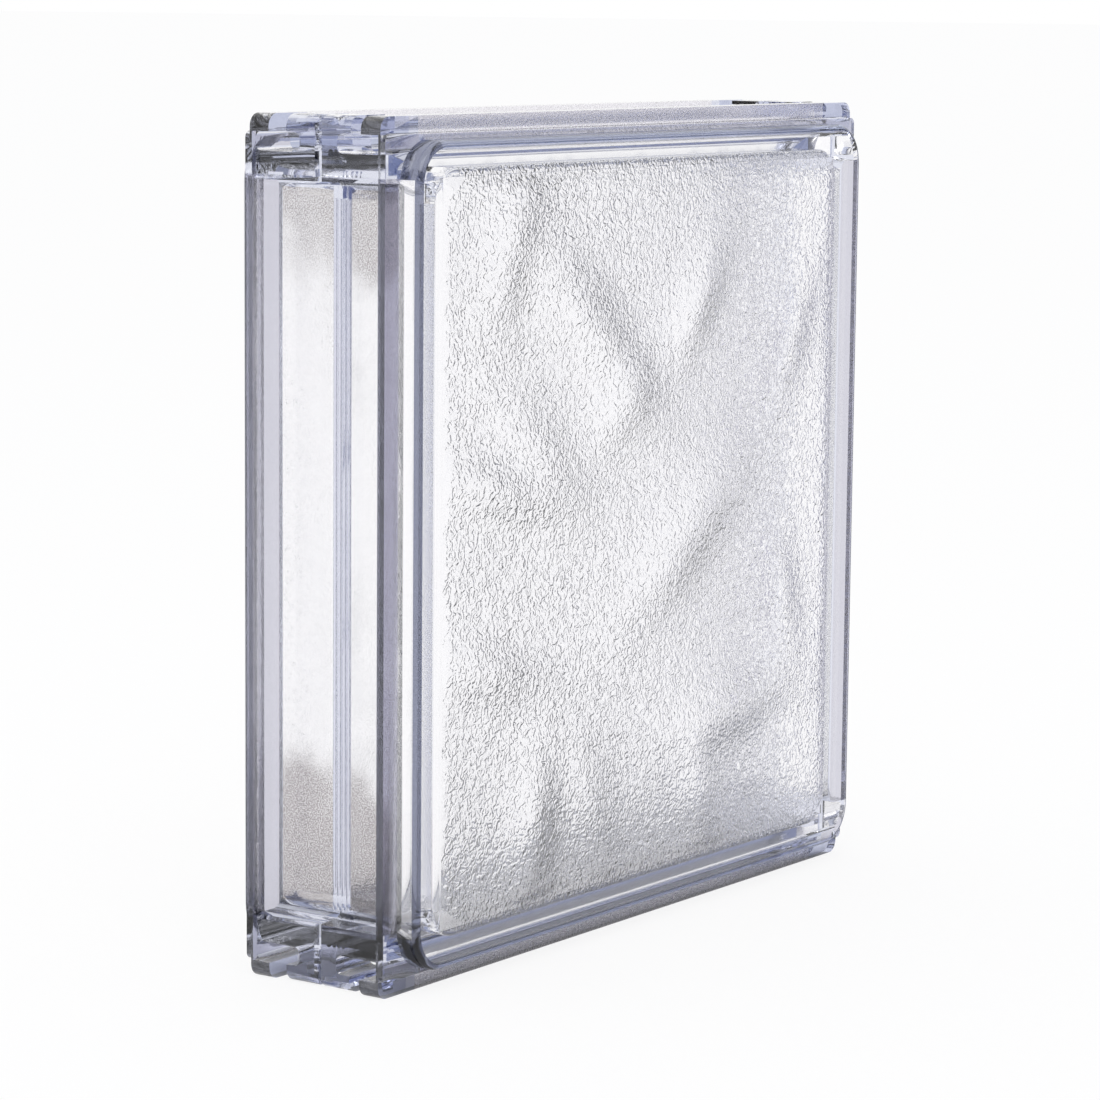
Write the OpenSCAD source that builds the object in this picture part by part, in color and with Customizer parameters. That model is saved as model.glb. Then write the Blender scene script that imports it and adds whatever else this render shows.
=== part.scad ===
// Hollow square block of glass-block form, moulded clear in two half shells that are joined face to
// face at the middle. Both shells come from one mould, so the rear one is the front one turned round.
// Millimetres. X is the width, Y the depth with the front face toward -Y, Z is up.
// The origin is the middle of the bottom, where the block stands on the lips of its flanges.

/* [Block] */
// Width and height of the square block
block_side = 197; // [180:1:260]
// Depth over the two raised panels
block_depth = 50.4; // [49.6:0.2:60]
// Depth over the outer faces of the two flanges
flange_span = 39.4; // [38.6:0.2:41]
// Radius of the four outer corners
corner_radius = 3; // [1.5:0.1:4]

/* [Panels] */
// Distance from the edge of the block to the edge of a raised panel
panel_inset = 5.2; // [4.6:0.1:10]
// Radius of the corners of a raised panel
panel_corner_radius = 10; // [6:0.5:16]
// Radius along the rim of a raised panel
panel_rim_radius = 1.6; // [0.8:0.1:2.4]
// Thickness of a panel
panel_thickness = 4; // [3:0.1:4.8]

/* [Flanges and lips] */
// Thickness of a flange beside its channel
flange_thickness = 1.9; // [1.4:0.1:2.6]
// Height of the lips along the top and the bottom
lip_height = 4; // [3:0.1:4.6]
// Depth of a lip, from its outer face to its hooked inner edge
lip_depth = 5.4; // [4.6:0.1:6]
// How far the outer face of a lip sits behind the face of its flange
lip_set_back = 1.3; // [0.6:0.1:1.6]

/* [Edge channels] */
// Depth of the channels down the left and right sides
side_channel_depth = 10.2; // [8:0.1:12]
// Depth of the channels along the top and the bottom
end_channel_depth = 8.4; // [7.4:0.1:10]
// Thickness of the left and right walls
side_wall = 4; // [3:0.1:6]
// Thickness of the top and bottom walls
end_wall = 3; // [2.4:0.1:6]
// Thickness of the webs that close the ends of the side channels
web_thickness = 6.3; // [4:0.1:8]
// How far the webs and the corner lugs stop short of the sides of the block
end_set_back = 1.4; // [0.6:0.1:2]
// Fillet between a side channel and the webs at its ends
web_fillet = 3; // [1.5:0.1:4]
// Fillet where a side channel meets its flange
channel_fillet = 1; // [0.5:0.1:2]

/* [Corner lugs] */
// Length of a lug along the block
lug_length = 13.5; // [10:0.1:18]
// Width of the head of a lug across both shells
lug_head_width = 18.2; // [16:0.1:20]
// Width of the stem of a lug across both shells
lug_stem_width = 10.6; // [8:0.1:13]
// Radius of the corners inside the slots and the end channels
slot_radius = 1.6; // [0.8:0.1:2]
// Width of the notch that marks the joint across a lug
notch_width = 2; // [1:0.1:3]
// Depth of that notch
notch_depth = 1.6; // [0.8:0.1:2.4]

/* [Joint] */
// Radius of the thin beads beside the joint
bead_radius = 0.55; // [0.3:0.05:0.6]
// Distance between the beads; the first one sits half of it from the joint
bead_pitch = 1.3; // [1.2:0.05:1.6]
// Number of beads on each shell
bead_count = 2; // [1:1:3]

/* [Hollow] */
// Radius of the upright corners of the hollow
hollow_corner_radius = 8; // [6:0.5:14]
// Radius between a panel and the walls inside
hollow_rim_radius = 2; // [1:0.1:2.6]
// Depth of the waves pressed into the inside of a panel
wave_depth = 0.9; // [0.5:0.1:1.4]

/* [Hidden] */
$fn = 64;
clear = 1;
half_side = block_side / 2;
panel_face = block_depth / 2;
flange_face = flange_span / 2;
flange_back = flange_face - flange_thickness;
lip_face = flange_face - lip_set_back;
lip_back = lip_face - lip_depth;
lip_line = half_side - lip_height;
side_floor = half_side - side_channel_depth;
end_floor = half_side - end_channel_depth;
web_line = end_floor - web_thickness;
lug_start = half_side - lug_length;
hollow_width = 2 * (side_floor - side_wall);
hollow_height = 2 * (end_floor - end_wall);
hollow_floor = panel_face - panel_thickness;
// How far the cutter of a wave reaches back into the hollow
wave_reach = 0.4;
// How much further the cutter of a wave is swept than its own length
wave_sweep = 1.1;

// Each wave: place across and up from the middle of the panel as a share of the half hollow, the lean of
// its long axis in degrees, its length and its width.
WAVES = [
    [-0.54, 0.66, 66, 44, 18],
    [-0.14, 0.56, -40, 60, 20],
    [0.40, 0.62, 45, 48, 18],
    [-0.44, 0.26, -38, 46, 18],
    [0.02, 0.14, 26, 40, 18],
    [-0.62, -0.02, -14, 42, 16],
    [0.25, -0.22, 35, 60, 22],
    [0.50, -0.62, 9, 48, 18],
    [-0.62, -0.38, 1, 40, 18],
    [-0.46, -0.70, 76, 36, 16],
    [0.74, 0.38, 62, 40, 16],
    [0.74, -0.24, -70, 36, 16]
];

// Flat rectangle about the origin with round corners
module round_rect(width, height, radius) {
    square([width - 2 * radius, height], center = true);
    square([width, height - 2 * radius], center = true);
    for (across = [-1, 1], up = [-1, 1]) {
        translate([across * (width / 2 - radius), up * (height / 2 - radius)])
            circle(r = radius);
    }
}

// Section of a slab standing on the first axis, with its two upper corners round
module slab_section(width, height, radius) {
    translate([-width / 2, 0])
        square([width, height - radius]);
    translate([radius - width / 2, 0])
        square([width - 2 * radius, height]);
    for (across = [-1, 1]) {
        translate([across * (width / 2 - radius), height - radius])
            circle(r = radius);
    }
}

// The half of such a section that is turned about the second axis to make a corner
module corner_section(reach, height, radius) {
    square([reach, height - radius]);
    square([reach - radius, height]);
    translate([reach - radius, height - radius])
        circle(r = radius);
}

// Block on the plane with round upright corners and a round upper rim
module round_block(width, height, thickness, corner, rim) {
    rotate([90, 0, 0])
        linear_extrude(height - 2 * corner, center = true)
            slab_section(width, thickness, rim);
    rotate([90, 0, 90])
        linear_extrude(width - 2 * corner, center = true)
            slab_section(height, thickness, rim);
    right_and_left()
        top_and_bottom()
            translate([width / 2 - corner, height / 2 - corner, 0])
                rotate_extrude(angle = 90)
                    corner_section(corner, thickness, rim);
}

// Fillet section in the corner at the origin, filling toward both axes
module fillet_section(radius) {
    difference() {
        square(radius);
        translate([radius, radius])
            circle(r = radius);
    }
}

// Bar along the width whose section is drawn with its first axis out from the joint and its second one up
module across_bar(length) {
    rotate([0, -90, 0])
        linear_extrude(length, center = true)
            children();
}

// Bar along the height whose section is drawn with its first axis across and its second one out
module upright_bar(length) {
    rotate([90, 0, 0])
        linear_extrude(length, center = true)
            children();
}

// Repeats what is drawn for the top at the bottom as well
module top_and_bottom() {
    children();
    mirror([0, 1, 0])
        children();
}

// Repeats what is drawn for the right side at the left as well
module right_and_left() {
    children();
    mirror([1, 0, 0])
        children();
}

// Section of the slot between a lip and a lug, with round corners in its wide part
module slot_section() {
    wide = flange_back - lug_stem_width / 2;
    tall = lip_line - end_floor;
    translate([lug_stem_width / 2 + wide / 2, end_floor + tall / 2])
        round_rect(wide, tall, slot_radius);
    translate([lug_head_width / 2, lip_line - tall / 2])
        square([lip_back - lug_head_width / 2, tall / 2 + lip_height + clear]);
}

// Section of the open channel between the two lips, from past the joint out to the flange
module end_channel_section() {
    tall = lip_line - end_floor;
    translate([flange_back / 2 - clear, end_floor + tall / 2])
        round_rect(flange_back + 2 * clear, tall, slot_radius);
    translate([-clear, end_floor])
        square([flange_back - slot_radius, tall]);
    translate([-clear, lip_line - tall / 2])
        square([lip_back + clear, tall / 2 + lip_height + clear]);
}

// Channel along the top between its lugs, and the slots in the two lugs
module top_cuts() {
    across_bar(2 * lug_start)
        end_channel_section();
    right_and_left()
        translate([half_side, 0, 0])
            across_bar(2 * lug_length)
                slot_section();
}

// Channel down the right side between its webs, and the step that sets the webs back
module side_cuts() {
    reach = 2 * side_channel_depth;
    translate([side_floor + reach / 2, 0, -clear])
        linear_extrude(flange_back + clear)
            round_rect(reach, 2 * web_line, web_fillet);
    translate([half_side - end_set_back, -lip_line, -clear])
        cube([end_set_back + clear, 2 * lip_line, flange_back + clear]);
}

// Notch of the joint over the heads of the lugs and down their ends
module notch_cuts() {
    across_bar(block_side + 2 * clear)
        polygon([
            [-clear, half_side - notch_depth],
            [0, half_side - notch_depth],
            [notch_width / 2, half_side],
            [notch_width / 2, half_side + clear],
            [-clear, half_side + clear]
        ]);
}

// Notch of the joint down the right side, in the ends of the lugs and of the webs
module side_notch_cut() {
    bottom = half_side - end_set_back - notch_depth;
    upright_bar(block_side + 2 * clear)
        polygon([
            [bottom, -clear],
            [bottom, 0],
            [half_side - end_set_back, notch_width / 2],
            [half_side + clear, notch_width / 2],
            [half_side + clear, -clear]
        ]);
}

// Thin beads beside the joint on the floor of the right channel
module beads() {
    for (number = [1 : bead_count]) {
        out = (number - 0.5) * bead_pitch;
        translate([side_floor, 0, out])
            rotate([90, 0, 0])
                cylinder(h = 2 * web_line, r = bead_radius, center = true);
    }
}

// The same beads along the top channel
module top_beads() {
    for (number = [1 : bead_count]) {
        out = (number - 0.5) * bead_pitch;
        translate([0, end_floor, out])
            rotate([0, 90, 0])
                cylinder(h = 2 * lug_start, r = bead_radius, center = true);
    }
}

// One wave: the rim of a wide ring sunk a little way into the inside of the panel
module wave(length, width) {
    ring = length * length / (8 * wave_depth);
    tube = width * width / (8 * wave_depth);
    skin = wave_depth + wave_reach;
    sweep = wave_sweep * acos(1 - wave_depth / ring);
    translate([0, 0, hollow_floor + wave_depth - ring])
        rotate([90, 0, 0])
            rotate([0, 0, 90 - sweep])
                rotate_extrude(angle = 2 * sweep)
                    intersection() {
                        translate([ring - tube, 0])
                            circle(r = tube);
                        translate([ring - skin, -width])
                            square([skin + clear, 2 * width]);
                    }
}

// The space inside a shell, open at the joint
module hollow() {
    translate([0, 0, -clear])
        round_block(
            hollow_width,
            hollow_height,
            hollow_floor + clear,
            hollow_corner_radius,
            hollow_rim_radius
        );
    for (spot = WAVES) {
        translate([spot[0] * hollow_width / 2, spot[1] * hollow_height / 2, 0])
            rotate([0, 0, spot[2]])
                wave(spot[3], spot[4]);
    }
}

// Solid form of a shell before its channels: walls and lugs, lips, flange and raised panel
module shell_form() {
    linear_extrude(lip_back + lip_depth / 2)
        round_rect(block_side - 2 * end_set_back, block_side, corner_radius);
    translate([0, 0, lip_back])
        linear_extrude(lip_depth)
            round_rect(block_side, block_side, corner_radius);
    translate([0, 0, flange_back])
        linear_extrude(flange_thickness)
            round_rect(block_side, 2 * lip_line, corner_radius / 2);
    round_block(
        block_side - 2 * panel_inset,
        block_side - 2 * panel_inset,
        panel_face,
        panel_corner_radius,
        panel_rim_radius
    );
}

// One half shell, lying with its joint face on the plane
module half_shell() {
    difference() {
        shell_form();
        top_and_bottom()
            top_cuts();
        right_and_left()
            side_cuts();
        top_and_bottom()
            notch_cuts();
        right_and_left()
            side_notch_cut();
        hollow();
    }
    right_and_left()
        beads();
    top_and_bottom()
        top_beads();
    right_and_left()
        translate([side_floor, 0, flange_back])
            mirror([0, 0, 1])
                upright_bar(2 * web_line)
                    fillet_section(channel_fillet);
}

// A half shell stood up on its lips with its panel toward the front
module standing_shell() {
    translate([0, 0, half_side])
        rotate([90, 0, 0])
            half_shell();
}

module front_shell() {
    color([0.86, 0.88, 0.94])
        standing_shell();
}

module rear_shell() {
    color([0.80, 0.83, 0.92])
        rotate([0, 0, 180])
            standing_shell();
}

front_shell();
rear_shell();
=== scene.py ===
"""Looks of a hollow clear block of glass-block form: two moulded halves with pressed panels inside.

Metres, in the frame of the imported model: X is the width, Y the depth with the front toward -Y, Z is up.
"""
import math

import bmesh
import bpy
from mathutils import Matrix, Vector


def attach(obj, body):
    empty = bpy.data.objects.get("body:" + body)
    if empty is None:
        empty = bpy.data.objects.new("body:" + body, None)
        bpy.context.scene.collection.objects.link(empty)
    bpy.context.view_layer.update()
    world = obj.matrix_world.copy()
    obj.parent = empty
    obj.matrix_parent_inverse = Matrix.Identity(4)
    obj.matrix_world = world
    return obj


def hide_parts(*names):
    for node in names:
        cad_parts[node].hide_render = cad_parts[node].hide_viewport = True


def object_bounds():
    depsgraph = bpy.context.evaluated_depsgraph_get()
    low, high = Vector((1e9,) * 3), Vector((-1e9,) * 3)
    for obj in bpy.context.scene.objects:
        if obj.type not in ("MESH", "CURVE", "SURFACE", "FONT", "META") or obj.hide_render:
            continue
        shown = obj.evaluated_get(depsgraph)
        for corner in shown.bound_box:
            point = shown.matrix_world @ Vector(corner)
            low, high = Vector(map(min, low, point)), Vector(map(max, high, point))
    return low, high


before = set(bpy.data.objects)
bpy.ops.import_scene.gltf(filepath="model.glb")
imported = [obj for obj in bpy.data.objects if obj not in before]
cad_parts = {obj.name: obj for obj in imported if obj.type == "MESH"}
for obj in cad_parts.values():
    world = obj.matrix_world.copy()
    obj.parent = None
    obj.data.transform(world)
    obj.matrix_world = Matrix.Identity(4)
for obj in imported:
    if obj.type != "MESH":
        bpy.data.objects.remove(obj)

cad_low, cad_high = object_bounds()

MM = 0.001
# Places after the point, to which the sizes read from the frame are rounded
MICROMETRE = 6

# Sizes of the solids that the finishes follow; depths are measured from the joint of the two halves
HALF_SIDE = round((cad_high[0] - cad_low[0]) / 2, MICROMETRE)
PANEL_FACE = round(cad_high[1], MICROMETRE)
PANEL_INSET = 5.2 * MM
FLANGE_FACE = 19.7 * MM
FLANGE_BACK = 17.8 * MM
LIP_BACK = 13 * MM
LIP_HEIGHT = 4 * MM
SIDE_FLOOR = HALF_SIDE - 10.2 * MM
END_FLOOR = HALF_SIDE - 8.4 * MM
WEB_LINE = END_FLOOR - 6.3 * MM
LUG_START = HALF_SIDE - 13.5 * MM
BEADS_END = 2.6 * MM
HOLLOW_HALF_WIDTH = SIDE_FLOOR - 4 * MM
HOLLOW_HALF_HEIGHT = END_FLOOR - 3 * MM
HOLLOW_FLOOR = 21.2 * MM
HOLLOW_RIM = 2 * MM

# Relief pressed into the inside of a panel
WAVE_DEPTH = 1.9 * MM
GRAIN_SIZE = 2.2 * MM
GRAIN_DEPTH = 0.26 * MM
RELIEF_FADE = 3 * MM
RELIEF_COLUMNS = 270
RELIEF_ROWS = 278
# The deepest fold and the grain together stay this shallow
RELIEF_REACH = 3.6 * MM
# Box that cuts the relief, and the thin overlap that keeps its faces off the faces of the solid
CUTTER_DEPTH = 4 * MM
CUTTER_SKIN = 0.04 * MM
# Box that fills the plain dishes of the solid first, so that the soft folds take their place
FILLER_DEPTH = 2.4 * MM
FILLER_MARGIN = 0.4 * MM

# Each wave: place across and up from the middle of the panel, lean in degrees, length, width and share of
# the wave depth
WAVES = [
    (-57 * MM, 68 * MM, 66, 38 * MM, 16 * MM, 0.8),
    (-22 * MM, 47 * MM, -42, 60 * MM, 18 * MM, 1.0),
    (22 * MM, 53 * MM, 54, 32 * MM, 15 * MM, 1.2),
    (-11 * MM, 28 * MM, 32, 30 * MM, 16 * MM, 0.7),
    (-43 * MM, 20 * MM, -38, 40 * MM, 16 * MM, 0.7),
    (-60 * MM, 13 * MM, -14, 46 * MM, 12 * MM, 1.1),
    (21 * MM, -3 * MM, 34, 62 * MM, 20 * MM, 1.3),
    (40 * MM, -50 * MM, 8, 48 * MM, 16 * MM, 1.3),
    (-64 * MM, -28 * MM, -12, 38 * MM, 13 * MM, 0.9),
    (-46 * MM, -66 * MM, 84, 34 * MM, 16 * MM, 1.0),
    (-23 * MM, -64 * MM, -62, 34 * MM, 15 * MM, 0.6),
    (25 * MM, -70 * MM, -73, 26 * MM, 14 * MM, 0.8),
    (63 * MM, 41 * MM, 62, 36 * MM, 15 * MM, 1.1),
    (60 * MM, -24 * MM, -74, 34 * MM, 15 * MM, 1.0),
]

# The stipple has rounded corners, and on the left it stops short of the rim of the hollow in a wavy line
STIPPLE_CORNER = 13 * MM
PLAIN_BORDER = 3.6 * MM
BORDER_WAVE = 1 * MM
BORDER_SHORT_BEAT = 1.3 * MM
BORDER_LONG_BEAT = 4.1 * MM

# Body of the clear plastic
BODY_IOR = 1.49
THIN_COLOUR = (0.993, 0.990, 1.0, 1)
# Edges are thick, and light runs a long way in them, so they look deeper and bluer
EDGE_COLOUR = (0.56, 0.59, 0.74, 1)
# Painted shade: the end faces of the flanges are painted dark blue and the rim of the panel near black
TIP_COLOUR = (0.16, 0.165, 0.25, 1)
RIM_COLOUR = (0.07, 0.08, 0.14, 1)
# Painted shade: the bands and backs of the flanges are painted grey-lavender over their real satin roughness
SATIN_SHADE_COLOUR = (0.43, 0.425, 0.53, 1)
LIP_COLOUR = (0.92, 0.89, 0.95, 1)
# Light that runs the whole depth of the end walls crosses their joint and rounded corners
WEB_COLOUR = (0.26, 0.30, 0.47, 1)

# Each finish: colour, size and depth of its marks, how far they wander, smoothest and roughest
FINISHES = {
    "polished": (THIN_COLOUR, 9 * MM, 0.0, 0.0, 0.0, 0.03),
    "edge": (EDGE_COLOUR, 6 * MM, 0.0, 0.0, 0.0, 0.04),
    "rim": (RIM_COLOUR, 6 * MM, 0.0, 0.0, 0.0, 0.04),
    "tip": (TIP_COLOUR, 6 * MM, 0.0, 0.0, 0.0, 0.04),
    "pressed": (THIN_COLOUR, 1.55 * MM, 0.36 * MM, 1.6, 0.0, 0.02),
    "frosted": (THIN_COLOUR, 0.6 * MM, 0.05 * MM, 0.0, 0.06, 0.24),
    # The left channel's frost, with painted shade toward its ends
    "painted_shade_frost": (THIN_COLOUR, 0.6 * MM, 0.05 * MM, 0.0, 0.06, 0.24),
    "web": (WEB_COLOUR, 6 * MM, 0.0, 0.0, 0.0, 0.04),
    "satin_and_shade": (SATIN_SHADE_COLOUR, 0.5 * MM, 0.03 * MM, 0.0, 0.06, 0.18),
    "lip": (LIP_COLOUR, 0.5 * MM, 0.04 * MM, 0.0, 0.22, 0.42),
}

# Painted shade: the frost in the left channel is painted warm grey toward its ends, from these heights, in a
# ragged border
PAINTED_SHADE_COLOUR = (0.24, 0.21, 0.215, 1)
PAINTED_SHADE_BELOW = 44 * MM
PAINTED_SHADE_ABOVE = 163 * MM
PAINTED_SHADE_FADE = 9 * MM
PAINTED_SHADE_RAGGED = 60 * MM
PAINTED_SHADE_PATCH = 28 * MM
PAINTED_SHADE_SHARE_ABOVE = 0.8
SPECK_SIZE = 0.32 * MM
SPECK_SHARE = 0.7
SPECK_GROUND = 0.55

# A face whose middle is this close to a plane of the solid lies on it
NEAR = 0.2 * MM
# Tilted faces from this far below the floor of an end channel to this far above it are its rounded corners
CORNER_BELOW = 1 * MM
CORNER_ABOVE = 3 * MM
# How much of a face's normal lies along an axis, for the weakest lean up to a face square to the axis
LEANS_A_LITTLE = 0.05
LEANS = 0.3
LEVEL = 0.7
FACES = 0.9
SQUARE = 0.99
EXACTLY_SQUARE = 0.999

# The two halves are drawn this far apart, so that their joint faces never coincide
JOINT_GAP = 0.02 * MM
# Points closer than this are one point
MERGE_GAP = 0.001 * MM
# Edges that bend more than this stay crisp
CRISP_ANGLE = math.radians(40)
# Triangles that bend less than this lie in one flat face
FLAT_ANGLE = math.radians(0.2)

# Studio: a white room with a cooler, darker side in front of the block, and one large soft lamp
WHITE = (1, 1, 1, 1)
ROOM_DARK = (0.13, 0.155, 0.30, 1)
# How much of a direction points to the front, where the dark begins and where it is full
DARK_BEGINS = 0.05
DARK_FULL = 0.6
# How much of a direction points up, where the dark starts to fade and where it is gone
DARK_FADES = 0.3
DARK_GONE = 0.8
LAMP_SIZE = 1.4
LAMP_POWER = 12
LAMP_PLACE = Vector((-1.1, -1.0, 1.7))

# Floor, and how much of its look is plain white, seen straight on and seen through the block
FLOOR_REACH = 40.0
FLOOR_COLOUR = (0.92, 0.92, 0.93, 1)
FLOOR_ROUGHNESS = 0.9
FLOOR_WHITE_SEEN = 0.88
FLOOR_WHITE_THROUGH = 0.98
# Seen through the block, the floor's shadow is full up to the first distance from the block's outline and
# gone past the second
SHADOW_FULL = -20 * MM
SHADOW_GONE = 55 * MM

# Camera, as measured on the photograph
VIEW_PLACE = Vector((-0.76588, -0.53766, 0.22235))
VIEW_YAW = math.radians(54.665)
VIEW_PITCH = math.radians(8.078)
VIEW_ROLL = math.radians(0.531)
VIEW_LENS = 126.8
SENSOR_WIDTH = 36
VIEW_NEAREST = 0.01
VIEW_FARTHEST = 100

# Light runs far along the clear walls before it leaves them
MOST_BOUNCES = 12
MOST_GLOSSY_BOUNCES = 8


class Tree:
    """Short ways to add and join nodes in one node tree."""

    def __init__(self, node_tree):
        self.tree = node_tree

    def add(self, kind, **settings):
        node = self.tree.nodes.new(kind)
        for name, value in settings.items():
            setattr(node, name, value)
        return node

    def join(self, source, target):
        self.tree.links.new(source, target)

    def feed(self, socket, value):
        if isinstance(value, bpy.types.NodeSocket):
            self.join(value, socket)
        else:
            socket.default_value = value

    def math(self, operation, first, second=None):
        node = self.add("ShaderNodeMath", operation=operation)
        for socket, value in zip(node.inputs, (first, second)):
            if value is not None:
                self.feed(socket, value)
        return node.outputs[0]

    def combine(self, x=0.0, y=0.0, z=0.0):
        node = self.add("ShaderNodeCombineXYZ")
        for socket, value in zip(node.inputs, (x, y, z)):
            self.feed(socket, value)
        return node.outputs[0]

    def split(self, vector):
        node = self.add("ShaderNodeSeparateXYZ")
        self.join(vector, node.inputs[0])
        return node.outputs

    def smooth(self, value, low, high):
        """0 at low, 1 at high, and a soft step between."""
        node = self.add("ShaderNodeMapRange", interpolation_type="SMOOTHSTEP")
        self.feed(node.inputs["Value"], value)
        node.inputs["From Min"].default_value = low
        node.inputs["From Max"].default_value = high
        return node.outputs["Result"]

    def blend(self, share, first, second):
        """The first colour where share is 0, the second where it is 1."""
        node = self.add("ShaderNodeMix", data_type="RGBA")
        self.feed(node.inputs[0], share)
        self.feed(node.inputs[6], first)
        self.feed(node.inputs[7], second)
        return node.outputs[2]

    def object_place(self):
        return self.add("ShaderNodeTexCoord").outputs["Object"]


def soft_folds(tree, across, up):
    """Share of the wave depth at a point: folds with a long and a short axis, which run into each other."""
    folds = 0.0
    for place_across, place_up, lean, length, width, share in WAVES:
        turn = math.radians(lean)
        from_across = tree.math("SUBTRACT", across, place_across)
        from_up = tree.math("SUBTRACT", up, place_up)
        along = tree.math(
            "ADD",
            tree.math("MULTIPLY", from_across, 2 * math.cos(turn) / length),
            tree.math("MULTIPLY", from_up, 2 * math.sin(turn) / length),
        )
        beside = tree.math(
            "SUBTRACT",
            tree.math("MULTIPLY", from_up, 2 * math.cos(turn) / width),
            tree.math("MULTIPLY", from_across, 2 * math.sin(turn) / width),
        )
        away = tree.math("ADD", tree.math("MULTIPLY", along, along), tree.math("MULTIPLY", beside, beside))
        fold = tree.math("EXPONENT", tree.math("MULTIPLY", away, -1.0))
        folds = tree.math("ADD", folds, tree.math("MULTIPLY", fold, share))
    return folds


def leather_grain(tree, place, given):
    """Height of small rounded wrinkles."""
    grain = tree.add("ShaderNodeTexNoise", noise_dimensions="4D")
    tree.join(place, grain.inputs["Vector"])
    tree.join(given["Seed"], grain.inputs["W"])
    tree.join(tree.math("DIVIDE", 1.0, given["Grain Size"]), grain.inputs["Scale"])
    grain.inputs["Detail"].default_value = 1.0
    grain.inputs["Distortion"].default_value = 0.6
    return tree.math("MULTIPLY", grain.outputs[0], given["Grain Depth"])


def relief_height(tree, place, given):
    """Height of folds and grain, which die away before the rim of the hollow."""
    across, _, up = tree.split(place)
    seen_across = tree.math("MULTIPLY", across, tree.math("MULTIPLY", given["Facing"], -1.0))
    waves = tree.math("MULTIPLY", soft_folds(tree, seen_across, up), given["Wave Depth"])
    half_width = tree.math("MULTIPLY", given["Width"], 0.5)
    half_height = tree.math("MULTIPLY", given["Height"], 0.5)
    from_side = tree.math("SUBTRACT", half_width, tree.math("ABSOLUTE", across))
    from_end = tree.math("SUBTRACT", half_height, tree.math("ABSOLUTE", up))
    inside = tree.smooth(tree.math("MINIMUM", from_side, from_end), 0.0, RELIEF_FADE)
    return tree.math("MULTIPLY", tree.math("ADD", waves, leather_grain(tree, place, given)), inside)


def stand_in_hollow(tree, box, given, deep):
    """Puts a box that was made round the origin at the middle of the panel, at a depth on its own half."""
    placed = tree.add("GeometryNodeTransform")
    tree.join(box, placed.inputs["Geometry"])
    stand = tree.combine(y=tree.math("MULTIPLY", deep, given["Facing"]), z=HALF_SIDE)
    tree.join(stand, placed.inputs["Translation"])
    return placed.outputs[0]


def relief_cutter(tree, given):
    """A finely cut box in the hollow, against the panel, whose outer face carries the relief."""
    box = tree.add("GeometryNodeMeshCube")
    tree.join(tree.combine(given["Width"], CUTTER_DEPTH, given["Height"]), box.inputs["Size"])
    tree.join(given["Columns"], box.inputs["Vertices X"])
    box.inputs["Vertices Y"].default_value = 2
    tree.join(given["Rows"], box.inputs["Vertices Z"])

    place = tree.add("GeometryNodeInputPosition").outputs[0]
    out = tree.split(place)[1]
    outer = tree.math("GREATER_THAN", tree.math("MULTIPLY", out, given["Facing"]), 0.0)
    lift = tree.math("ADD", relief_height(tree, place, given), CUTTER_SKIN)
    pressed = tree.add("GeometryNodeSetPosition")
    tree.join(box.outputs["Mesh"], pressed.inputs["Geometry"])
    tree.join(outer, pressed.inputs["Selection"])
    tree.join(tree.combine(y=tree.math("MULTIPLY", lift, given["Facing"])), pressed.inputs["Offset"])
    deep = tree.math("SUBTRACT", given["Floor"], CUTTER_DEPTH / 2)
    return stand_in_hollow(tree, pressed.outputs[0], given, deep)


def dish_filler(tree, given):
    """A plain box inside the panel, which fills the dishes of the solid."""
    width = tree.math("SUBTRACT", given["Width"], FILLER_MARGIN)
    height = tree.math("SUBTRACT", given["Height"], FILLER_MARGIN)
    box = tree.add("GeometryNodeMeshCube")
    tree.join(tree.combine(width, FILLER_DEPTH, height), box.inputs["Size"])
    deep = tree.math("ADD", given["Floor"], FILLER_DEPTH / 2 - CUTTER_SKIN / 2)
    return stand_in_hollow(tree, box.outputs["Mesh"], given, deep)


def pressed_relief():
    """Geometry tree that presses the waves and the leathery grain into the inside of a panel."""
    group = bpy.data.node_groups.new("pressed_relief", "GeometryNodeTree")
    face = group.interface
    face.new_socket("Half", in_out="INPUT", socket_type="NodeSocketGeometry")
    for name in ("Facing", "Width", "Height", "Floor", "Wave Depth", "Grain Size", "Grain Depth", "Seed"):
        face.new_socket(name, in_out="INPUT", socket_type="NodeSocketFloat")
    for name in ("Columns", "Rows"):
        face.new_socket(name, in_out="INPUT", socket_type="NodeSocketInt")
    face.new_socket("Material", in_out="INPUT", socket_type="NodeSocketMaterial")
    face.new_socket("Half", in_out="OUTPUT", socket_type="NodeSocketGeometry")

    tree = Tree(group)
    given = tree.add("NodeGroupInput").outputs
    result = tree.add("NodeGroupOutput")
    filled = tree.add("GeometryNodeMeshBoolean", operation="UNION", solver="MANIFOLD")
    tree.join(given["Half"], filled.inputs["Mesh 2"])
    tree.join(dish_filler(tree, given), filled.inputs["Mesh 2"])
    cut = tree.add("GeometryNodeMeshBoolean", operation="DIFFERENCE", solver="MANIFOLD")
    tree.join(filled.outputs["Mesh"], cut.inputs["Mesh 1"])
    tree.join(relief_cutter(tree, given), cut.inputs["Mesh 2"])
    whole = tree.add("GeometryNodeRealizeInstances")
    tree.join(cut.outputs["Mesh"], whole.inputs["Geometry"])
    finish = tree.add("GeometryNodeSetMaterial")
    tree.join(whole.outputs[0], finish.inputs["Geometry"])
    tree.join(given["Material"], finish.inputs["Material"])
    tree.join(finish.outputs[0], result.inputs[0])
    return group


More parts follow.
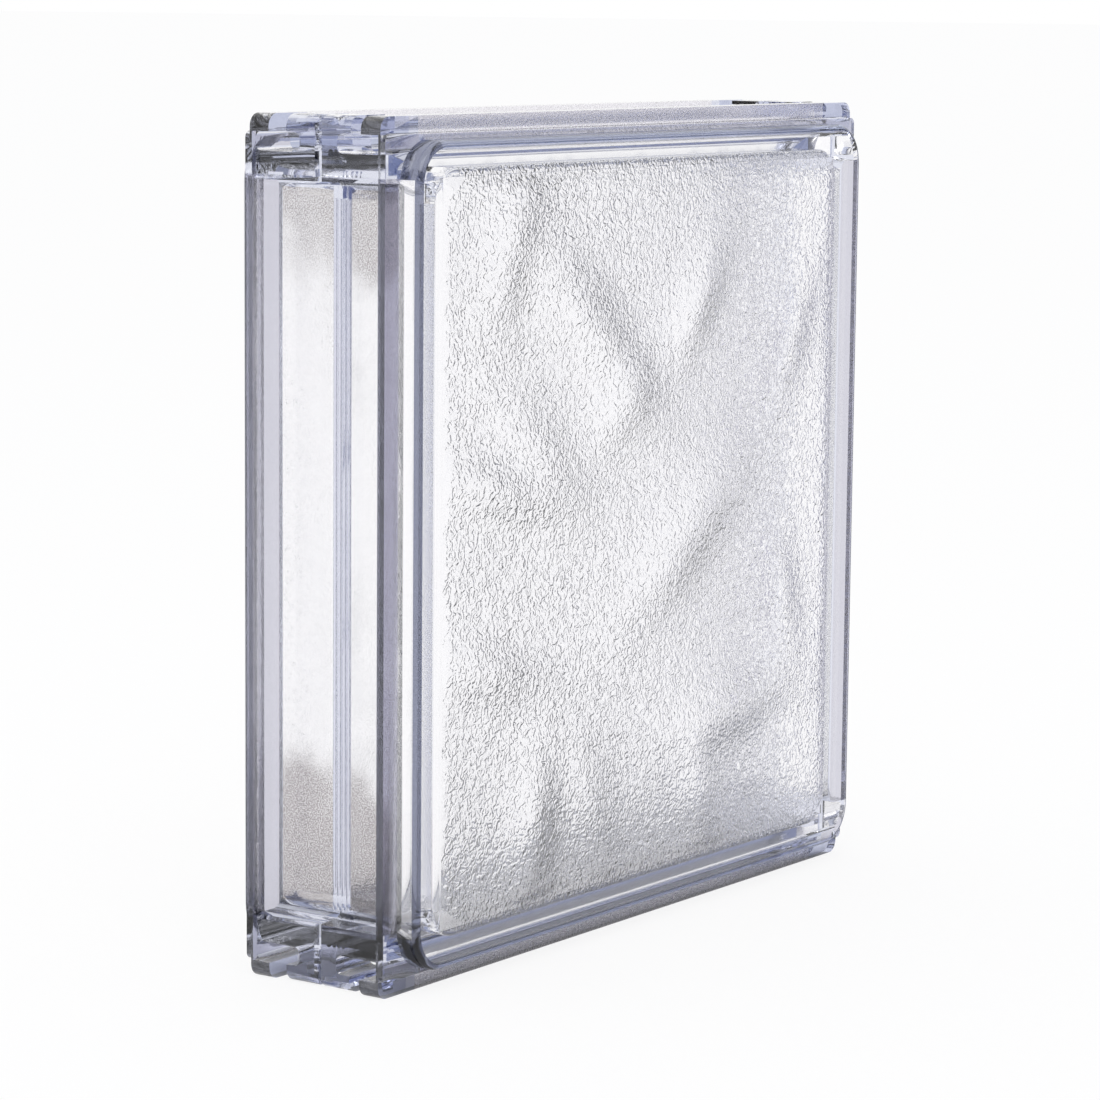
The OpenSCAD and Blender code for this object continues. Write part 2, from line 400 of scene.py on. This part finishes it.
def stipple_group():
    """Shader group: small rounded bumps of a given size and depth, as a height in metres and as a mask."""
    group = bpy.data.node_groups.new("stipple", "ShaderNodeTree")
    face = group.interface
    for name in ("Size", "Depth", "Wander"):
        face.new_socket(name, in_out="INPUT", socket_type="NodeSocketFloat")
    for name in ("Height", "Mask"):
        face.new_socket(name, in_out="OUTPUT", socket_type="NodeSocketFloat")
    tree = Tree(group)
    given = tree.add("NodeGroupInput").outputs
    result = tree.add("NodeGroupOutput")
    noise = tree.add("ShaderNodeTexNoise")
    tree.join(tree.object_place(), noise.inputs["Vector"])
    tree.join(tree.math("DIVIDE", 1.0, given["Size"]), noise.inputs["Scale"])
    tree.join(given["Wander"], noise.inputs["Distortion"])
    noise.inputs["Detail"].default_value = 0.0
    tree.join(tree.math("MULTIPLY", noise.outputs[0], given["Depth"]), result.inputs["Height"])
    tree.join(tree.smooth(noise.outputs[0], 0.35, 0.65), result.inputs["Mask"])
    return group


def clear_plastic(name, stipple, colour, size, depth, wander, smoothest, roughest):
    """Clear plastic with a faint blue body, whose surface is polished or carries a stipple."""
    material = bpy.data.materials.new(name)
    material.use_nodes = True
    tree = Tree(material.node_tree)
    shader = material.node_tree.nodes["Principled BSDF"]
    shader.inputs["Base Color"].default_value = colour
    shader.inputs["IOR"].default_value = BODY_IOR
    shader.inputs["Transmission Weight"].default_value = 1.0

    marks = tree.add("ShaderNodeGroup", node_tree=stipple)
    marks.inputs["Size"].default_value = size
    marks.inputs["Depth"].default_value = depth
    marks.inputs["Wander"].default_value = wander
    spread = tree.math("MULTIPLY", marks.outputs["Mask"], roughest - smoothest)
    tree.join(tree.math("ADD", spread, smoothest), shader.inputs["Roughness"])
    if depth > 0:
        bump = tree.add("ShaderNodeBump")
        bump.inputs["Distance"].default_value = 1.0
        tree.join(marks.outputs["Height"], bump.inputs["Height"])
        tree.join(bump.outputs[0], shader.inputs["Normal"])
    return material


def paint_shade_at_ends(material, stipple):
    """Painted shade: frost in a channel is painted warm grey toward its ends, with a ragged, speckled border.
    """
    tree = Tree(material.node_tree)
    shader = material.node_tree.nodes["Principled BSDF"]
    place = tree.object_place()
    height = tree.split(place)[2]
    ragged = tree.add("ShaderNodeTexNoise")
    tree.join(place, ragged.inputs["Vector"])
    ragged.inputs["Scale"].default_value = 1 / PAINTED_SHADE_PATCH
    ragged.inputs["Detail"].default_value = 6.0
    shift = tree.math("MULTIPLY", tree.math("SUBTRACT", ragged.outputs[0], 0.5), PAINTED_SHADE_RAGGED)
    wandering = tree.math("ADD", height, shift)
    below = tree.smooth(wandering, PAINTED_SHADE_BELOW + PAINTED_SHADE_FADE, PAINTED_SHADE_BELOW - PAINTED_SHADE_FADE)
    above = tree.smooth(wandering, PAINTED_SHADE_ABOVE - PAINTED_SHADE_FADE, PAINTED_SHADE_ABOVE + PAINTED_SHADE_FADE)
    shade_share = tree.math("ADD", below, tree.math("MULTIPLY", above, PAINTED_SHADE_SHARE_ABOVE))
    specks = tree.add("ShaderNodeGroup", node_tree=stipple)
    specks.inputs["Size"].default_value = SPECK_SIZE
    speckled = tree.math("ADD", tree.math("MULTIPLY", specks.outputs["Mask"], SPECK_SHARE), SPECK_GROUND)
    shown = tree.math("MULTIPLY", shade_share, speckled)
    tree.join(tree.blend(shown, THIN_COLOUR, PAINTED_SHADE_COLOUR), shader.inputs["Base Color"])


class Spot:
    """Where a face lies on its half, and which way it looks."""

    def __init__(self, centre, normal, facing):
        self.height = centre.z
        self.side = abs(centre.x)
        self.end = abs(centre.z - HALF_SIDE)
        self.deep = abs(centre.y)
        self.outward = normal.y * facing
        self.sideways = abs(normal.x)
        self.upward = abs(normal.z)
        self.left_of_block = centre.x < 0
        self.left_of_panel = centre.x * facing > 0
        self.on_joint = self.deep < JOINT_GAP
        self.on_lip = self.end > HALF_SIDE - LIP_HEIGHT and self.deep > LIP_BACK
        self.between_lugs = self.side < LUG_START


def stipple_margin(spot):
    """How far a face lies inside the stippled field."""
    border = 0
    if spot.left_of_panel:
        short_beat = math.sin(spot.height / BORDER_SHORT_BEAT)
        long_beat = math.sin(spot.height / BORDER_LONG_BEAT + 1)
        border = PLAIN_BORDER + BORDER_WAVE * short_beat * long_beat
    past_side = max(spot.side - HOLLOW_HALF_WIDTH + border + STIPPLE_CORNER, 0)
    past_end = max(spot.end - HOLLOW_HALF_HEIGHT + STIPPLE_CORNER, 0)
    return STIPPLE_CORNER - math.hypot(past_side, past_end)


def inside_panel_finish(spot):
    in_panel = HOLLOW_FLOOR - HOLLOW_RIM < spot.deep < HOLLOW_FLOOR + RELIEF_REACH
    if spot.outward < -LEANS and in_panel and stipple_margin(spot) > 0:
        return "pressed"
    return None


def channel_finish(spot):
    on_side_floor = abs(spot.side - SIDE_FLOOR) < NEAR and spot.sideways > FACES and spot.end < WEB_LINE
    on_end_floor = abs(spot.end - END_FLOOR) < NEAR and spot.upward > FACES and spot.between_lugs
    # The left channel's floor takes the frost with painted shade toward its ends
    if spot.deep > BEADS_END and on_side_floor and spot.left_of_block:
        return "painted_shade_frost"
    if spot.deep > BEADS_END and (on_side_floor or on_end_floor):
        return "frosted"
    return None


def web_finish(spot):
    near_floor = END_FLOOR - CORNER_BELOW < spot.end < END_FLOOR + CORNER_ABOVE
    on_corner = near_floor and LEANS_A_LITTLE < spot.upward < SQUARE and spot.deep > LIP_BACK
    across_wall = spot.on_joint and spot.end > LUG_START
    if spot.between_lugs and (on_corner or across_wall):
        return "web"
    return None


def flange_finish(spot):
    beside_panel = max(spot.side, spot.end) > HALF_SIDE - PANEL_INSET - NEAR
    on_band = beside_panel and min(spot.side, spot.end) < LUG_START and spot.outward > FACES
    on_face = FLANGE_FACE - NEAR < spot.deep < FLANGE_FACE + NEAR
    on_back = spot.outward < -FACES and abs(spot.deep - FLANGE_BACK) < NEAR and spot.side > SIDE_FLOOR
    if on_band and spot.on_lip:
        return "lip"
    # Real satin roughness, with painted grey-lavender shade
    if on_back or (on_band and on_face):
        return "satin_and_shade"
    return None


def panel_finish(spot):
    in_hollow = spot.side < HOLLOW_HALF_WIDTH + NEAR and spot.end < HOLLOW_HALF_HEIGHT + NEAR
    on_panel_face = spot.outward > EXACTLY_SQUARE and spot.deep > PANEL_FACE - NEAR
    if in_hollow or on_panel_face:
        return "polished"
    if spot.outward < EXACTLY_SQUARE and spot.sideways < SQUARE and spot.deep > FLANGE_FACE:
        return "rim"
    return None


def edge_finish(spot):
    in_flange = FLANGE_BACK < spot.deep < FLANGE_FACE
    if spot.side > HALF_SIDE - NEAR and spot.sideways > FACES and in_flange:
        return "tip"
    on_panel_side = spot.sideways > FACES and spot.deep > FLANGE_FACE
    on_level = spot.upward > LEVEL and spot.end > END_FLOOR - CORNER_BELOW
    inside_lip = spot.on_lip and spot.between_lugs
    if on_panel_side or spot.on_joint or on_level or inside_lip:
        return "polished"
    return "edge"


def surface_kind(spot):
    """Name of the finish of a face: the first rule that knows it gives it."""
    rules = (inside_panel_finish, channel_finish, web_finish, flange_finish, panel_finish, edge_finish)
    return next(kind for kind in (rule(spot) for rule in rules) if kind)


def merged_half(node_name, piece_name, facing):
    """A piece with the solid's mesh, merged, whose joint face is drawn back by half the gap."""
    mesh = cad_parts[node_name].data.copy()
    work = bmesh.new()
    work.from_mesh(mesh)
    bmesh.ops.remove_doubles(work, verts=work.verts, dist=MERGE_GAP)
    for vertex in work.verts:
        if abs(vertex.co.y) < MERGE_GAP:
            vertex.co.y = facing * JOINT_GAP / 2
    work.to_mesh(mesh)
    work.free()
    piece = bpy.data.objects.new(piece_name, mesh)
    bpy.context.scene.collection.objects.link(piece)
    return piece


def make_plain(piece):
    """Turns what the modifiers show into the piece's own mesh."""
    evaluated = piece.evaluated_get(bpy.context.evaluated_depsgraph_get())
    mesh = bpy.data.meshes.new_from_object(evaluated)
    piece.modifiers.clear()
    piece.data = mesh


def press_panel(piece, facing, seed, tree, material):
    relief = piece.modifiers.new("relief", "NODES")
    relief.node_group = tree
    values = {
        "Facing": facing,
        "Width": 2 * (HOLLOW_HALF_WIDTH - HOLLOW_RIM),
        "Height": 2 * (HOLLOW_HALF_HEIGHT - HOLLOW_RIM),
        "Floor": HOLLOW_FLOOR,
        "Wave Depth": WAVE_DEPTH,
        "Grain Size": GRAIN_SIZE,
        "Grain Depth": GRAIN_DEPTH,
        "Seed": seed,
        "Columns": RELIEF_COLUMNS,
        "Rows": RELIEF_ROWS,
        "Material": material,
    }
    for item in tree.interface.items_tree:
        if item.in_out == "INPUT" and item.name in values:
            relief[item.identifier] = values[item.name]
    make_plain(piece)


def dress_faces(mesh, facing, finishes):
    """Joins triangles into flat faces, cuts these where the corner lugs begin, and gives each its finish."""
    names = list(finishes)
    mesh.materials.clear()
    for name in names:
        mesh.materials.append(finishes[name])
    work = bmesh.new()
    work.from_mesh(mesh)
    bmesh.ops.dissolve_limit(work, angle_limit=FLAT_ANGLE, verts=work.verts, edges=work.edges)
    across = Vector((1, 0, 0))
    up = Vector((0, 0, 1))
    middle = HALF_SIDE * up
    for axis in (across, up):
        for sign in (-1, 1):
            line = middle + sign * LUG_START * axis
            everything = work.verts[:] + work.edges[:] + work.faces[:]
            bmesh.ops.bisect_plane(work, geom=everything, dist=MERGE_GAP, plane_co=line, plane_no=axis)
    for surface in work.faces:
        spot = Spot(surface.calc_center_median(), surface.normal, facing)
        surface.material_index = names.index(surface_kind(spot))
    work.to_mesh(mesh)
    work.free()


def shade_evenly(piece):
    """Smooth shading that keeps crisp edges crisp and flat faces flat."""
    piece.data.shade_smooth()
    piece.data.set_sharp_from_angle(angle=CRISP_ANGLE)
    weigh = piece.modifiers.new("weigh", "WEIGHTED_NORMAL")
    weigh.keep_sharp = True
    make_plain(piece)


def half_block(node_name, piece_name, facing, seed, tree, finishes):
    """The visible half: the solid's shape, with the relief pressed into its panel."""
    piece = merged_half(node_name, piece_name, facing)
    press_panel(piece, facing, seed, tree, finishes["polished"])
    dress_faces(piece.data, facing, finishes)
    shade_evenly(piece)
    piece.data.name = piece_name + "_mesh"
    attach(piece, "root")
    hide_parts(node_name)


def pale_floor():
    """Floor material that keeps the shadow, and shows white to the camera and through the block."""
    material = bpy.data.materials.new("pale_floor")
    material.use_nodes = True
    tree = Tree(material.node_tree)
    surface = material.node_tree.nodes["Principled BSDF"]
    surface.inputs["Base Color"].default_value = FLOOR_COLOUR
    surface.inputs["Roughness"].default_value = FLOOR_ROUGHNESS
    surface.inputs["Specular IOR Level"].default_value = 0.0
    glow = tree.add("ShaderNodeEmission")
    glow.inputs["Color"].default_value = WHITE

    across, out, _ = tree.split(tree.object_place())
    beside = tree.math("SUBTRACT", tree.math("ABSOLUTE", across), HALF_SIDE)
    before = tree.math("SUBTRACT", tree.math("ABSOLUTE", out), PANEL_FACE)
    clear_of_block = tree.smooth(tree.math("MAXIMUM", beside, before), SHADOW_FULL, SHADOW_GONE)
    path = tree.add("ShaderNodeLightPath").outputs
    through = tree.math("MAXIMUM", path["Is Transmission Ray"], path["Is Glossy Ray"])
    white_seen = tree.math("MULTIPLY", path["Is Camera Ray"], FLOOR_WHITE_SEEN)
    white_through = tree.math("MULTIPLY", tree.math("MULTIPLY", through, clear_of_block), FLOOR_WHITE_THROUGH)
    mix = tree.add("ShaderNodeMixShader")
    tree.join(tree.math("MAXIMUM", white_seen, white_through), mix.inputs[0])
    tree.join(surface.outputs[0], mix.inputs[1])
    tree.join(glow.outputs[0], mix.inputs[2])
    tree.join(mix.outputs[0], material.node_tree.nodes["Material Output"].inputs["Surface"])
    return material


def stage_floor():
    mesh = bpy.data.meshes.new("floor")
    corners = [(x * FLOOR_REACH, y * FLOOR_REACH, 0) for x, y in ((-1, -1), (1, -1), (1, 1), (-1, 1))]
    mesh.from_pydata(corners, [], [(0, 1, 2, 3)])
    mesh.materials.append(pale_floor())
    floor = bpy.data.objects.new("floor", mesh)
    bpy.context.scene.collection.objects.link(floor)


def studio_light():
    world = bpy.data.worlds.new("studio")
    world.use_nodes = True
    bpy.context.scene.world = world
    tree = Tree(world.node_tree)
    _, north, up = tree.split(tree.add("ShaderNodeTexCoord").outputs["Generated"])
    in_front = tree.smooth(tree.math("MULTIPLY", north, -1.0), DARK_BEGINS, DARK_FULL)
    not_above = tree.smooth(up, DARK_GONE, DARK_FADES)
    tone = tree.blend(tree.math("MULTIPLY", in_front, not_above), WHITE, ROOM_DARK)
    seen = tree.add("ShaderNodeLightPath").outputs["Is Camera Ray"]
    tree.join(tree.blend(seen, tone, WHITE), world.node_tree.nodes["Background"].inputs["Color"])

    lamp = bpy.data.lights.new("soft_lamp", "AREA")
    lamp.shape = "SQUARE"
    lamp.size = LAMP_SIZE
    lamp.energy = LAMP_POWER
    holder = bpy.data.objects.new("soft_lamp", lamp)
    holder.location = LAMP_PLACE
    toward = Vector((0, 0, HALF_SIDE)) - LAMP_PLACE
    holder.rotation_euler = toward.to_track_quat("-Z", "Y").to_euler()
    bpy.context.scene.collection.objects.link(holder)


def photo_camera():
    level = math.cos(VIEW_PITCH)
    ahead = Vector((level * math.sin(VIEW_YAW), level * math.cos(VIEW_YAW), -math.sin(VIEW_PITCH)))
    right = Vector((math.cos(VIEW_YAW), -math.sin(VIEW_YAW), 0))
    up = right.cross(ahead)
    turned_right = math.cos(VIEW_ROLL) * right + math.sin(VIEW_ROLL) * up
    turned_up = math.cos(VIEW_ROLL) * up - math.sin(VIEW_ROLL) * right
    lens = bpy.data.cameras.new("photo_camera")
    lens.lens = VIEW_LENS
    lens.sensor_width = SENSOR_WIDTH
    lens.sensor_fit = "HORIZONTAL"
    lens.clip_start = VIEW_NEAREST
    lens.clip_end = VIEW_FARTHEST
    camera = bpy.data.objects.new("photo_camera", lens)
    turn = Matrix((turned_right, turned_up, -ahead)).transposed()
    camera.matrix_world = Matrix.Translation(VIEW_PLACE) @ turn.to_4x4()
    bpy.context.scene.collection.objects.link(camera)
    bpy.context.scene.camera = camera


bpy.context.scene.view_settings.view_transform = "Standard"
bpy.context.scene.cycles.max_bounces = MOST_BOUNCES
bpy.context.scene.cycles.transmission_bounces = MOST_BOUNCES
bpy.context.scene.cycles.glossy_bounces = MOST_GLOSSY_BOUNCES
photo_camera()
studio_light()
stage_floor()
stipple = stipple_group()
finishes = {name: clear_plastic(name + "_plastic", stipple, *values) for name, values in FINISHES.items()}
# Painted shade, warm grey, toward the ends of the left channel's frost
paint_shade_at_ends(finishes["painted_shade_frost"], stipple)
relief_tree = pressed_relief()
half_block("front_shell", "front_half", -1.0, 3.0, relief_tree, finishes)
half_block("rear_shell", "rear_half", 1.0, 8.0, relief_tree, finishes)
